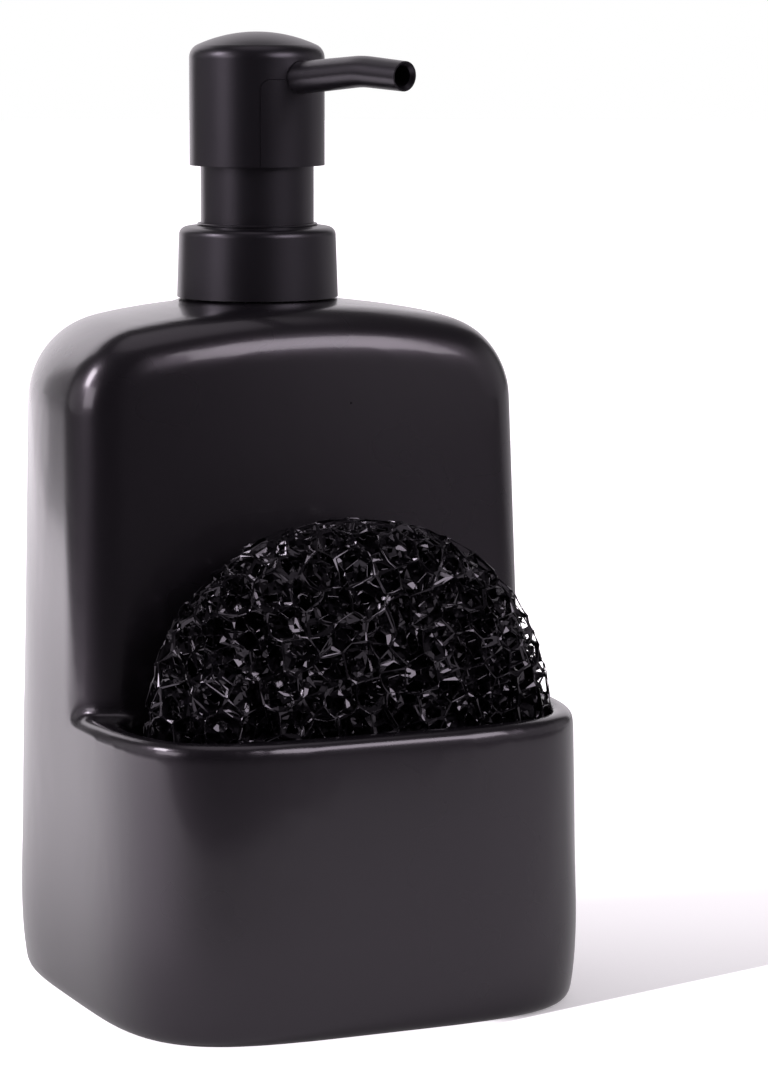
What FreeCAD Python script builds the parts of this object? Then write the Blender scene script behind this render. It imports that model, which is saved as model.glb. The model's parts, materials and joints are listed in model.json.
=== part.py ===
import FreeCAD, Part
import Sketcher
import math
import os
from FreeCAD import Placement, Rotation, Vector

# Soap pump caddy: a one-piece glazed ceramic dispenser with an open pocket in front
# for a mesh scrubber, and a screw-on lotion pump behind it.
# The frame has its origin at the centre of the footprint on the surface that the
# caddy stands on, +X to the right seen from the front, -Y to the front and +Z up.

SIZES = {
    # Ceramic body, outside
    "body_half": 51.4,
    "bow_power": 4.0,
    "foot_inset": 1.2,
    "foot_rise": 16.0,
    "belly_top": 20.0,
    "side_lean_share": 0.021,
    "foot_edge_radius": 3.2,
    "rim_height": 61.0,
    "crown_height": 143.0,
    "crown_radius": 180.0,
    "crown_setback": 14.4,
    "shoulder_radius": 18.0,
    "front_advance": 13.8,
    "front_bow_radius": 300.0,
    "front_lean": 2.9,
    "front_edge_radius": 10.0,
    "lip_outer_radius": 2.2,
    "lip_inner_radius": 1.2,
    "bottle_overlap": 14.0,
    "bottle_step": 0.05,
    # Ceramic body, inside and underneath
    "tub_wall": 5.4,
    "pocket_power": 4.8,
    "pocket_floor": 10.0,
    "pocket_corner_radius": 9.0,
    "pocket_floor_radius": 4.0,
    "bottle_wall": 5.0,
    "reservoir_floor": 8.5,
    "foot_ring_width": 6.0,
    "foot_ring_height": 1.5,
    "neck_seat_drop": 0.6,
    "neck_boss_radius": 16.5,
    "neck_boss_rise": 0.3,
    "mouth_radius": 12.2,
    "neck_seat_radius": 14.3,
    "overrun": 20.0,
    # Neck insert with its thread, and the soft sleeve round its plug
    "pump_setback": 19.75,
    "glue_gap": 0.05,
    "grommet_wall": 0.6,
    "grommet_flange": 0.5,
    "grommet_flange_radius": 13.2,
    "plug_depth": 6.5,
    "plug_wall": 0.9,
    "insert_flange_radius": 13.6,
    "insert_flange": 1.0,
    "neck_radius": 12.5,
    "neck_rise": 11.2,
    "thread_bead_radius": 0.8,
    "thread_pitch": 3.0,
    "thread_turns": 1.75,
    # Closure cap
    "cap_gap": 0.5,
    "cap_base_radius": 16.92,
    "cap_top_radius": 16.4,
    "cap_bore_radius": 13.9,
    "cap_edge_radius": 1.7,
    "cap_top_fall": 0.5,
    "deck_thickness": 2.1,
    "running_gap": 0.1,
    # Pump housing, its gasket and its valve
    "gasket_thickness": 0.8,
    "gasket_width": 2.2,
    "flange_thickness": 1.2,
    "flange_radius": 13.0,
    "housing_radius": 8.6,
    "chamber_radius": 7.4,
    "chamber_depth": 49.0,
    "chamber_floor_thickness": 3.0,
    "ball_radius": 2.4,
    "ball_side_gap": 0.3,
    "ball_lift": 1.5,
    "valve_hole_radius": 1.2,
    "seat_land": 0.9,
    "socket_length": 9.9,
    "socket_wall": 1.75,
    "fit_gap": 0.05,
    "retainer_thickness": 1.2,
    "retainer_hole_radius": 1.5,
    "flow_hole_radius": 0.8,
    "flow_hole_circle": 3.6,
    "flow_hole_count": 4,
    "dip_tube_radius": 3.0,
    "dip_tube_wall": 0.9,
    "dip_tube_floor_gap": 2.5,
    # Guide sleeve on top of the housing
    "guide_fit": 0.08,
    "skirt_depth": 4.0,
    "skirt_wall": 1.05,
    "guide_disc": 1.2,
    "barrel_radius": 11.3,
    "deck_hole_gap": 0.3,
    "ring_radius": 12.6,
    "ring_thickness": 0.4,
    "ring_edge": 0.15,
    "sleeve_radius": 11.85,
    "sleeve_wall": 1.17,
    "sleeve_cover": 1.25,
    "wiper_thickness": 1.0,
    # Plunger: stem, piston and spring
    "stroke": 11.5,
    "head_clear": 1.05,
    "stem_radius": 3.2,
    "stem_wall": 1.3,
    "stem_foot_radius": 6.3,
    "stem_foot": 2.0,
    "stop_gap": 0.2,
    "piston_height": 8.8,
    "piston_lip": 1.6,
    "piston_lip_taper": 1.0,
    "piston_waist": 0.65,
    "spring_coil_radius": 5.5,
    "spring_wire_radius": 0.5,
    "spring_turns": 7,
    "spring_end_gap": 0.05,
    # Head shell and the actuator with its spout
    "head_radius": 14.15,
    "head_wall": 1.6,
    "head_height": 27.7,
    "head_dome_radius": 30.0,
    "head_edge_radius": 3.0,
    "spout_turn": 17.5,
    "spout_rise": 17.15,
    "spout_root_radius": 3.54,
    "spout_tip_radius": 3.05,
    "spout_first_run": 33.67,
    "spout_second_run": 12.81,
    "spout_climb": 4.8,
    "spout_droop": 3.8,
    "spout_bend_radius": 30.0,
    "spout_bore_radius": 2.1,
    "mouth_cone_radius": 2.7,
    "mouth_cone_depth": 0.8,
    "panel_half_width": 8.46,
    "panel_height": 17.95,
    "panel_corner_radius": 2.0,
    "panel_gap": 0.1,
    "sleeve_side_gap": 0.45,
    "web_rise": 13.95,
    "web_thickness": 1.6,
    "core_radius": 5.2,
    "core_rise": 4.15,
    "stem_entry": 13.6,
    # Scrubber
    "scrubber_half_width": 43.1,
    "scrubber_half_height": 45.1,
    "scrubber_half_thickness": 14.2,
    "scrubber_advance": 29.4,
    "scrubber_gap": 0.4,
    "scrubber_plan_power": 2.6,
    "scrubber_round_power": 2.2,
    "scrubber_cell": 8.0,
    "scrubber_cell_shift": 0.4,
    "scrubber_pit_radius": 2.9,
    "scrubber_pit_shallow": 1.0,
    "scrubber_pit_deep": 2.2,
}

RING_POINTS = 64
SCRUBBER_POINTS = 48
GAP_POINTS = 24
COLUMN_SHARES = (0.14, 0.28, 0.49, 0.70, 0.88, 1.06)
FOOT_SHARES = (0.0, 0.4, 0.75)
SCRUBBER_LEVELS = 14
SCRUBBER_CAP_SHARE = 0.06
NEAR_SURFACE_SHARES = (0.7, 1.2)
NET_TURN_AXIS = (3, 8, 5)
NET_TURN_DEGREES = 35
WAVE_LENGTH_SHARES = (2.6, 3.3, 4.1, 5.0)
WAVE_HEADING_STEPS = (2.4, 2.4, 1.1)
WAVE_PUSH_STEPS = (1.9, 3.1, 0.7)

doc = FreeCAD.newDocument("soap_pump_caddy")
sheet = doc.addObject("Spreadsheet::Sheet", "sizes")
for row, (alias, number) in enumerate(SIZES.items(), start=1):
    sheet.set("A%d" % row, alias)
    sheet.set("B%d" % row, str(number))
    sheet.setAlias("B%d" % row, alias)
doc.recompute()


class Size:
    """A value of the sheet, or a sum of such values, with the expression that gives it."""

    def __init__(self, text, value):
        self.text = text
        self.value = float(value)

    def joined(self, sign, other, value):
        other_text = other.text if isinstance(other, Size) else repr(other)
        return Size("(%s %s %s)" % (self.text, sign, other_text), value)

    def __add__(self, other):
        return self.joined("+", other, self.value + amount(other))

    def __sub__(self, other):
        return self.joined("-", other, self.value - amount(other))

    def __mul__(self, other):
        return self.joined("*", other, self.value * amount(other))

    def __truediv__(self, other):
        return self.joined("/", other, self.value / amount(other))


def amount(value):
    return value.value if isinstance(value, Size) else float(value)


def size(alias):
    return Size("sizes." + alias, sheet.get(alias))


def bind(item, prop, value):
    item.setExpression(prop, value.text)


def place(item, x=None, y=None, z=None):
    for axis, value in (("x", x), ("y", y), ("z", z)):
        if value is not None:
            bind(item, "Placement.Base." + axis, value)


# Places that several pieces share
pump_y = size("pump_setback")
land = size("crown_height") - size("neck_seat_drop")
insert_seat = land + size("grommet_flange")
neck_top = land + size("neck_rise")
housing_seat = neck_top + size("gasket_thickness")
flange_top = housing_seat + size("flange_thickness")
deck_base = flange_top + size("running_gap")
deck_top = deck_base + size("deck_thickness")
cap_base = land + size("cap_gap")
chamber_floor = flange_top - size("chamber_depth")
ball_pocket_top = chamber_floor
seat_contact = size("ball_radius") * math.sqrt(0.5)
ball_centre = ball_pocket_top - size("ball_lift") - size("running_gap") - size("ball_radius")
seat_base = ball_centre - seat_contact - seat_contact + size("valve_hole_radius")
socket_top = seat_base - size("seat_land")
housing_base = socket_top - size("socket_length")
retainer_top = chamber_floor + size("retainer_thickness")
skirt_base = flange_top - size("skirt_depth")
piston_top = skirt_base - size("stop_gap")
piston_base = piston_top - size("piston_height")
stem_base = piston_base - size("stem_foot")
head_base = deck_top + size("stroke") + size("head_clear")
sleeve_top = head_base + size("sleeve_cover")
spout_level = head_base + size("spout_rise")
stem_top = head_base + size("stem_entry")


def cylinder(name, radius, height, x=None, y=None, z=None):
    item = doc.addObject("Part::Cylinder", name)
    bind(item, "Radius", radius)
    bind(item, "Height", height)
    place(item, x, y, z)
    return item


def sphere(name, radius, x=None, y=None, z=None):
    item = doc.addObject("Part::Sphere", name)
    bind(item, "Radius", radius)
    place(item, x, y, z)
    return item


def box(name, lows, highs):
    item = doc.addObject("Part::Box", name)
    for prop, low, high in zip(("Length", "Width", "Height"), lows, highs):
        bind(item, prop, high - low)
    place(item, *lows)
    return item


def boolean(kind, name, base, tool):
    item = doc.addObject("Part::" + kind, name)
    item.Base = base
    item.Tool = tool
    item.Refine = False
    return item


def common(name, base, tool):
    return boolean("Common", name, base, tool)


def cut(name, base, tool):
    return boolean("Cut", name, base, tool)


def fuse(name, base, tool):
    return boolean("Fuse", name, base, tool)


def solid_feature(name, shape):
    item = doc.addObject("Part::Feature", name)
    item.Shape = shape
    return item


def rounded(name, base, radius, picked):
    """Rounds the edges of base that picked accepts, all with one radius."""
    doc.recompute()
    edges = []
    for index, edge in enumerate(base.Shape.Edges, start=1):
        if edge.Length > TINY and picked(edge.BoundBox, edge):
            edges.append((index, radius.value, radius.value))
    item = doc.addObject("Part::Fillet", name)
    item.Base = base
    item.Edges = edges
    doc.recompute()
    return item


# A named tolerance for finding edges by where they lie, and for skipping closed-up ones
NEAR = size("running_gap").value
TINY = NEAR * NEAR * NEAR


# Ceramic body

def side_inset(z):
    """How far the wall stands in from its widest line at height z."""
    foot_rise = size("foot_rise").value
    if z < foot_rise:
        share = (foot_rise - z) / foot_rise
        return size("foot_inset").value * share * share
    return max(0.0, z - size("belly_top").value) * size("side_lean_share").value


def bowed_ring(half, power, z):
    """A closed square ring with bowed sides and round corners at height z."""
    points = []
    for step in range(RING_POINTS):
        angle = 2 * math.pi * step / RING_POINTS + math.pi / 2
        across = abs(math.cos(angle)) ** power
        along = abs(math.sin(angle)) ** power
        reach = half * (across + along) ** (-1 / power)
        points.append(Vector(reach * math.cos(angle), reach * math.sin(angle), z))
    curve = Part.BSplineCurve()
    curve.interpolate(points, PeriodicFlag=True)
    return Part.Wire([curve.toShape()])


def bowed_column(name, inset, power, levels):
    """A lofted column whose wall follows the caddy's outside, inset all round."""
    half = size("body_half").value
    rings = []
    for z in levels:
        rings.append(bowed_ring(half - inset - side_inset(z), power, z))
    return solid_feature(name, Part.makeLoft(rings, True, False))


def front_drum(name, inset):
    """The wide leaning cylinder whose front gives the bottle's bowed front face."""
    bow = size("front_bow_radius").value
    reach = size("crown_height").value
    pivot = Vector(0, -size("front_advance").value, size("rim_height").value)
    turn = Rotation(Vector(1, 0, 0), -size("front_lean").value)
    item = doc.addObject("Part::Cylinder", name)
    bind(item, "Radius", size("front_bow_radius") - inset)
    bind(item, "Height", size("crown_height") * 2)
    item.Placement = Placement(pivot + turn.multVec(Vector(0, bow, -reach)), turn)
    return item


def bottle_form(name, inset, base_level):
    """The bottle behind the pocket, inset all round, from base_level to its crown."""
    half = size("body_half")
    wide = half + size("overrun")
    crown = size("crown_height")
    power = size("bow_power").value
    levels = [crown.value * share for share in COLUMN_SHARES]
    levels = [size("foot_rise").value * share for share in FOOT_SHARES] + levels
    column = bowed_column(name + "_column", inset.value, power, levels)
    slab = box(name + "_slab", (wide * -1, wide * -1, base_level), (wide, wide, crown + size("overrun")))
    ball = sphere(name + "_ball", size("crown_radius") - inset, y=size("crown_setback"),
                  z=crown - size("crown_radius"))
    ball.Placement.Rotation = Rotation(Vector(0, 0, 1), 90)
    column = common(name + "_trimmed", column, slab)
    column = common(name + "_crowned", column, ball)
    shoulder = crown - size("shoulder_radius") * 2
    column = rounded(name + "_shouldered", column, size("shoulder_radius") - inset,
                     lambda bounds, edge: bounds.ZMin > shoulder.value and edge.Length > half.value)
    front = box(name + "_front", (wide * -1, wide * -1, base_level - size("overrun")),
                (wide, half / 2, crown + size("overrun")))
    drum = front_drum(name + "_drum", inset)
    column = cut(name + "_faced", column, cut(name + "_ahead", front, drum))
    advance = size("front_advance").value
    bow_depth = half.value * half.value / size("front_bow_radius").value / 2
    reach = size("crown_height").value * math.tan(math.radians(size("front_lean").value))
    front_limit = bow_depth + reach + inset.value - advance + size("crown_setback").value

    def on_front_face(bounds, edge):
        return (bounds.YMax < front_limit and bounds.ZMax > base_level.value + NEAR
                and bounds.YMin > -advance - reach)

    return rounded(name, column, size("front_edge_radius") - inset, on_front_face)


def pocket_form():
    """The hollow in front of the bottle, up to well above the rim."""
    inset = size("tub_wall")
    floor = size("pocket_floor")
    rim = size("rim_height")
    wide = size("body_half") + size("overrun")
    levels = (floor.value, rim.value / 2, (rim + size("overrun")).value)
    column = bowed_column("pocket_column", inset.value, size("pocket_power").value, levels)
    slab = box("pocket_slab", (wide * -1, wide * -1, floor), (wide, size("body_half"), rim + size("overrun") / 2))
    column = common("pocket_trimmed", column, slab)
    column = cut("pocket_faced", column, front_drum("pocket_drum", inset * 0))
    tall = rim.value / 2
    behind = size("body_half").value / 2
    column = rounded("pocket_cornered", column, size("pocket_corner_radius"),
                     lambda bounds, edge: bounds.ZLength > tall and bounds.YMin > -behind)
    return rounded("pocket_hollow", column, size("pocket_floor_radius"),
                   lambda bounds, edge: bounds.ZMax < floor.value + NEAR)


def make_ceramic_body():
    half = size("body_half")
    wide = half + size("overrun")
    rim = size("rim_height")
    base_level = rim - size("bottle_overlap")
    bottle = bottle_form("bottle", size("bottle_step"), base_level)
    power = size("bow_power").value
    levels = [size("foot_rise").value * share for share in FOOT_SHARES]
    levels += [size("crown_height").value * share for share in COLUMN_SHARES]
    column = bowed_column("tub_column", 0, power, levels)
    slab = box("tub_slab", (wide * -1, wide * -1, half * 0), (wide, wide, rim))
    tub = common("tub_trimmed", column, slab)
    tub = rounded("tub_lipped", tub, size("lip_outer_radius"),
                  lambda bounds, edge: bounds.ZMin > rim.value - NEAR and edge.Length > half.value)
    tub = rounded("tub_footed", tub, size("foot_edge_radius"),
                  lambda bounds, edge: bounds.ZMax < NEAR and edge.Length > half.value)
    tub = cut("tub_hollowed", tub, pocket_form())
    inside = half - size("tub_wall")
    tub = rounded("tub", tub, size("lip_inner_radius"),
                  lambda bounds, edge: bounds.ZMin > rim.value - NEAR and bounds.XMax < inside.value
                  and bounds.YMin > -inside.value)
    body = fuse("tub_and_bottle", tub, bottle)
    boss = cylinder("neck_boss", size("neck_boss_radius"), size("bottle_wall") + size("neck_boss_rise"),
                    y=pump_y, z=land - size("bottle_wall"))
    body = fuse("body_with_boss", body, boss)
    body = cut("body_hollowed", body, bottle_form("reservoir", size("bottle_wall"), size("reservoir_floor")))
    seat = cylinder("neck_seat", size("neck_seat_radius"), size("overrun"), y=pump_y, z=land)
    body = cut("body_seated", body, seat)
    mouth = cylinder("mouth_bore", size("mouth_radius"), size("overrun"), y=pump_y,
                     z=land - size("overrun") / 2)
    body = cut("body_bored", body, mouth)
    ring_half = size("body_half").value - size("foot_ring_width").value
    foot = size("foot_ring_height").value
    levels = (-foot, foot)
    rings = [bowed_ring(ring_half - size("foot_inset").value, size("bow_power").value, z) for z in levels]
    recess = solid_feature("foot_recess", Part.makeLoft(rings, True, False))
    return cut("ceramic_body", body, recess)


# Turned pieces

def plane_of(body, role):
    for feature in body.Origin.OriginFeatures:
        if feature.Role == role:
            return feature
    raise ValueError("no plane " + role)


def new_sketch(body, name, role):
    sketch = body.newObject("Sketcher::SketchObject", name)
    sketch.AttachmentSupport = (plane_of(body, role), [""])
    sketch.MapMode = "FlatFace"
    return sketch


def draw_outline(sketch, outline):
    """Draws a closed outline of straight lines and ties every corner to the sheet."""
    corners = [Vector(across.value, up.value, 0) for across, up in outline]
    count = len(corners)
    for index in range(count):
        sketch.addGeometry(Part.LineSegment(corners[index], corners[(index + 1) % count]), False)
    for index in range(count):
        sketch.addConstraint(Sketcher.Constraint("Coincident", index, 2, (index + 1) % count, 1))
    for index, (across, up) in enumerate(outline):
        for kind, value in (("DistanceX", across), ("DistanceY", up)):
            if value.value == 0:
                line = -1 if kind == "DistanceY" else -2
                sketch.addConstraint(Sketcher.Constraint("PointOnObject", index, 1, line))
                continue
            place_in_list = sketch.addConstraint(
                Sketcher.Constraint(kind, -1, 1, index, 1, value.value))
            bind(sketch, "Constraints[%d]" % place_in_list, value)


def turned(name, outline, base_level):
    """A body of revolution about the pump's axis; outline is (radius, height) above base_level."""
    body = doc.addObject("PartDesign::Body", name)
    sketch = new_sketch(body, name + "_outline", "XZ_Plane")
    draw_outline(sketch, outline)
    revolution = body.newObject("PartDesign::Revolution", name + "_turned")
    revolution.Profile = sketch
    revolution.ReferenceAxis = (sketch, ["V_Axis"])
    revolution.Angle = 360
    place(body, y=pump_y, z=base_level)
    return body


def soften(body, radius, picked):
    """Rounds the edges of a body's last feature that picked accepts."""
    doc.recompute()
    last = body.Tip
    names = []
    for index, edge in enumerate(last.Shape.Edges, start=1):
        if picked(edge.BoundBox):
            names.append("Edge%d" % index)
    fillet = body.newObject("PartDesign::Fillet", body.Name + "_softened")
    fillet.Base = (last, names)
    bind(fillet, "Radius", radius)


def helix_wire(radius, pitch, turns, start_level):
    """A helix as smoothly joined arcs, eight to a turn, two for each quarter turn."""
    def at(angle):
        point = Vector(radius * math.cos(angle), radius * math.sin(angle),
                       start_level + pitch * angle / (2 * math.pi))
        tangent = Vector(-radius * math.sin(angle), radius * math.cos(angle), pitch / (2 * math.pi))
        return point, tangent.normalize()

    def arc(start, corner, end):
        middle = (start + end) / 2
        half_chord = (end - start).Length / 2
        leg = (corner - start).Length
        rise = half_chord * math.tan(math.acos(half_chord / leg) / 2)
        top = middle + (corner - middle).normalize() * rise
        return Part.Arc(start, top, end).toShape()

    quarters = int(round(turns * 4))
    edges = []
    for quarter in range(quarters):
        start, leaving = at(quarter * math.pi / 2)
        end, arriving = at((quarter + 1) * math.pi / 2)
        span = end - start
        both = leaving + arriving
        square = both.dot(both) - 4
        linear = span.dot(both)
        leg = (linear - math.sqrt(linear * linear - square * span.dot(span))) / square
        first = start + leaving * leg
        second = end - arriving * leg
        join = (first + second) / 2
        edges += [arc(start, first, join), arc(join, second, end)]
    return Part.Wire(edges)


def coil(radius, wire_radius, pitch, turns, start_level):
    """A round bar bent along a helix."""
    path = helix_wire(radius, pitch, turns, start_level)
    first = path.OrderedEdges[0]
    start = first.valueAt(first.FirstParameter)
    along = first.tangentAt(first.FirstParameter)
    section = Part.Wire([Part.Circle(start, along, wire_radius).toShape()])
    return path.makePipeShell([section], True, False)


def least_gap(radius, wire_radius, pitch, turns):
    """The smallest gap between a coil's turns, measured on points along its middle line."""
    path = helix_wire(radius, pitch, turns, 0)
    points = path.discretize(Number=int(turns * GAP_POINTS) + 1)
    nearest = min(points[index].distanceToPoint(points[other])
                  for index in range(len(points))
                  for other in range(index + GAP_POINTS // 2, len(points)))
    return nearest - 2 * wire_radius


def make_neck_insert():
    plug = size("mouth_radius") - size("glue_gap") - size("grommet_wall") - size("glue_gap")
    bore = plug - size("plug_wall")
    seat = size("plug_depth")
    lip = seat + size("insert_flange")
    top = seat + neck_top - insert_seat
    outline = [(bore, seat * 0), (plug, seat * 0), (plug, seat), (size("insert_flange_radius"), seat),
               (size("insert_flange_radius"), lip), (size("neck_radius"), lip),
               (size("neck_radius"), top), (bore, top)]
    blank = turned("neck_blank", outline, insert_seat - seat)
    pitch = size("thread_pitch").value
    bead = size("thread_bead_radius").value
    start = insert_seat.value + size("insert_flange").value + 2 * bead
    thread = solid_feature("neck_thread", coil(size("neck_radius").value, bead, pitch,
                                               size("thread_turns").value, start))
    thread.Placement = Placement(Vector(0, pump_y.value, 0), Rotation())
    return fuse("neck_insert", blank, thread)


def make_neck_grommet():
    outer = size("mouth_radius") - size("glue_gap")
    inner = outer - size("grommet_wall")
    seat = size("plug_depth") - size("grommet_flange")
    top = size("plug_depth")
    outline = [(inner, seat * 0), (outer, seat * 0), (outer, seat), (size("grommet_flange_radius"), seat),
               (size("grommet_flange_radius"), top), (inner, top)]
    return turned("neck_grommet", outline, insert_seat - top)


def make_gasket():
    outer = size("neck_radius") + size("cap_gap")
    inner = outer - size("gasket_width")
    top = size("gasket_thickness")
    outline = [(inner, top * 0), (outer, top * 0), (outer, top), (inner, top)]
    return turned("cap_gasket", outline, neck_top)


def make_closure_cap():
    bore = size("cap_bore_radius")
    hole = size("barrel_radius") + size("deck_hole_gap")
    under = deck_base - cap_base
    deck = deck_top - cap_base
    edge = deck - size("cap_top_fall")
    flat = size("ring_radius") + size("cap_gap")
    outline = [(bore, deck * 0), (size("cap_base_radius"), deck * 0), (size("cap_top_radius"), edge),
               (flat, deck), (hole, deck), (hole, under), (bore, under)]
    body = turned("closure_cap", outline, cap_base)
    outside = flat.value + NEAR
    soften(body, size("cap_edge_radius"),
           lambda bounds: bounds.ZMin > edge.value - NEAR and bounds.XMax > outside)
    return body


def make_pump_housing():
    tube = size("housing_radius")
    chamber = size("chamber_radius")
    pocket = size("ball_radius") + size("ball_side_gap")
    hole = size("valve_hole_radius")
    socket = size("dip_tube_radius") + size("fit_gap")
    outer = socket + size("socket_wall")
    base = housing_base
    top = flange_top - base
    flange = housing_seat - base
    floor = chamber_floor - base
    seat = seat_base - base
    cone_top = seat + pocket - hole
    neck = socket_top - base + size("seat_land")
    slope_top = floor - size("chamber_floor_thickness")
    outline = [(socket, top * 0), (outer, top * 0), (outer, neck), (tube, slope_top), (tube, flange),
               (size("flange_radius"), flange), (size("flange_radius"), top), (chamber, top),
               (chamber, floor), (pocket, floor), (pocket, cone_top), (hole, seat),
               (hole, socket_top - base), (socket, socket_top - base)]
    return turned("pump_housing", outline, base)


def make_check_ball():
    return sphere("check_ball", size("ball_radius"), y=pump_y, z=ball_centre)


def make_ball_retainer():
    body = doc.addObject("PartDesign::Body", "ball_retainer")
    outer = size("chamber_radius") - size("fit_gap")
    blank = new_sketch(body, "retainer_blank", "XY_Plane")
    for index, radius in enumerate((outer, size("retainer_hole_radius"))):
        blank.addGeometry(Part.Circle(Vector(), Vector(0, 0, 1), radius.value), False)
        blank.addConstraint(Sketcher.Constraint("Coincident", index, 3, -1, 1))
        tie = blank.addConstraint(Sketcher.Constraint("Radius", index, radius.value))
        bind(blank, "Constraints[%d]" % tie, radius)
    pad = body.newObject("PartDesign::Pad", "retainer_disc")
    pad.Profile = blank
    bind(pad, "Length", size("retainer_thickness"))
    holes = new_sketch(body, "retainer_holes", "XY_Plane")
    circle = size("flow_hole_circle")
    holes.addGeometry(Part.Circle(Vector(circle.value, 0, 0), Vector(0, 0, 1),
                                  size("flow_hole_radius").value), False)
    holes.addConstraint(Sketcher.Constraint("PointOnObject", 0, 3, -1))
    tie = holes.addConstraint(Sketcher.Constraint("DistanceX", -1, 1, 0, 3, circle.value))
    bind(holes, "Constraints[%d]" % tie, circle)
    tie = holes.addConstraint(Sketcher.Constraint("Radius", 0, size("flow_hole_radius").value))
    bind(holes, "Constraints[%d]" % tie, size("flow_hole_radius"))
    pocket = body.newObject("PartDesign::Pocket", "retainer_flow_hole")
    pocket.Profile = holes
    pocket.Type = "ThroughAll"
    pocket.Reversed = True
    doc.recompute()
    pattern = body.newObject("PartDesign::PolarPattern", "retainer_flow_holes")
    pattern.Originals = [pocket]
    pattern.Axis = (holes, ["N_Axis"])
    pattern.Angle = 360
    bind(pattern, "Occurrences", size("flow_hole_count"))
    body.Tip = pattern
    place(body, y=pump_y, z=chamber_floor)
    return body


def make_dip_tube():
    outer = size("dip_tube_radius")
    inner = outer - size("dip_tube_wall")
    base = size("reservoir_floor") + size("dip_tube_floor_gap")
    length = socket_top - size("running_gap") - base
    outline = [(inner, length * 0), (outer, length * 0), (outer, length), (inner, length)]
    return turned("dip_tube", outline, base)


def make_guide_sleeve():
    skirt = size("chamber_radius") - size("fit_gap")
    skirt_inner = skirt - size("skirt_wall")
    hole = size("stem_radius") + size("guide_fit")
    seat = size("skirt_depth")
    disc = seat + size("guide_disc")
    ring_base = seat + deck_top - flange_top + size("running_gap")
    ring_top = ring_base + size("ring_thickness")
    edge = size("ring_edge")
    top = sleeve_top - skirt_base
    outer = size("sleeve_radius")
    inner = outer - size("sleeve_wall")
    outline = [(skirt_inner, top * 0), (skirt, top * 0), (skirt, seat), (size("barrel_radius"), seat),
               (size("barrel_radius"), ring_base), (size("ring_radius"), ring_base),
               (size("ring_radius"), ring_top - edge), (size("ring_radius") - edge, ring_top),
               (outer, ring_top), (outer, top), (inner, top),
               (inner, disc), (hole, disc), (hole, seat), (skirt_inner, seat)]
    return turned("guide_sleeve", outline, skirt_base)


def make_stem_wiper():
    inner = size("stem_radius") + size("guide_fit")
    outer = size("chamber_radius") - size("fit_gap") - size("skirt_wall") - size("fit_gap")
    top = size("wiper_thickness")
    outline = [(inner, top * 0), (outer, top * 0), (outer, top), (inner, top)]
    return turned("stem_wiper", outline, flange_top - top)


def make_stem():
    outer = size("stem_radius")
    inner = outer - size("stem_wall")
    foot = size("stem_foot")
    top = stem_top - stem_base
    outline = [(inner, top * 0), (size("stem_foot_radius"), top * 0), (size("stem_foot_radius"), foot),
               (outer, foot), (outer, top), (inner, top)]
    return turned("stem", outline, stem_base)


def make_piston_seal():
    inner = size("stem_radius") + size("fit_gap")
    outer = size("chamber_radius") - size("fit_gap")
    waist = outer - size("piston_waist")
    lip = size("piston_lip")
    taper = lip + size("piston_lip_taper")
    top = size("piston_height")
    outline = [(inner, top * 0), (outer, top * 0), (outer, lip), (waist, taper),
               (waist, top - taper), (outer, top - lip), (outer, top), (inner, top)]
    return turned("piston_seal", outline, piston_base)


def make_return_spring():
    wire = size("spring_wire_radius").value
    gap = size("spring_end_gap").value
    turns = size("spring_turns").value
    low = retainer_top.value + wire + gap
    high = stem_base.value - wire - gap
    radius = size("spring_coil_radius").value
    pitch = (high - low) / turns
    print("least gap between the spring's turns: %.2f mm" % least_gap(radius, wire, pitch, turns))
    shape = coil(radius, wire, pitch, turns, low)
    item = solid_feature("return_spring", shape)
    item.Placement = Placement(Vector(0, pump_y.value, 0), Rotation())
    return item


# Head shell and actuator. Both are made with the spout to the front and then turned.

def turned_place(x, y, z):
    """Where a point given from the pump's axis, spout to the front, lies in the frame."""
    spin = Rotation(Vector(0, 0, 1), size("spout_turn").value)
    return Placement(Vector(0, pump_y.value, 0), Rotation()).multiply(
        Placement(spin.multVec(Vector(x, y, z)), spin))


def spun_cylinder(name, radius, low, high):
    """A cylinder on the pump's axis."""
    item = doc.addObject("Part::Cylinder", name)
    bind(item, "Radius", radius)
    bind(item, "Height", high - low)
    item.Placement = turned_place(0, 0, low.value)
    return item


def spun_box(name, half_width, depth, low, high):
    """A box on both sides of the spout, from the axis to the front."""
    item = doc.addObject("Part::Box", name)
    bind(item, "Length", half_width * 2)
    bind(item, "Width", depth)
    bind(item, "Height", high - low)
    item.Placement = turned_place(-half_width.value, -depth.value, low.value)
    return item


def spout_path():
    """The spout's centre line from the pump's axis to its mouth: run, bend, run."""
    climb = math.radians(size("spout_climb").value)
    droop = math.radians(size("spout_droop").value)
    first = Vector(0, -math.cos(climb), math.sin(climb))
    second = Vector(0, -math.cos(droop), -math.sin(droop))
    corner = first * size("spout_first_run").value
    mouth = corner + second * size("spout_second_run").value
    trim = size("spout_bend_radius").value * math.tan((climb + droop) / 2)
    enter = corner - first * trim
    leave = corner + second * trim
    inward = (second - first).normalize()
    offset = size("spout_bend_radius").value / math.cos((climb + droop) / 2)
    middle = corner + inward * (offset - size("spout_bend_radius").value)
    edges = [Part.LineSegment(Vector(), enter).toShape(), Part.Arc(enter, middle, leave).toShape(),
             Part.LineSegment(leave, mouth).toShape()]
    return Part.Wire(edges), first, second, mouth


def spout_solid(name, start_radius, end_radius):
    """A round bar along the spout's centre line that tapers from start to end."""
    path, first, second, mouth = spout_path()
    start = Part.Wire([Part.Circle(Vector(), first, start_radius.value).toShape()])
    end = Part.Wire([Part.Circle(mouth, second, end_radius.value).toShape()])
    item = solid_feature(name, path.makePipeShell([start, end], True, False))
    item.Placement = turned_place(0, 0, spout_level.value)
    return item


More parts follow.
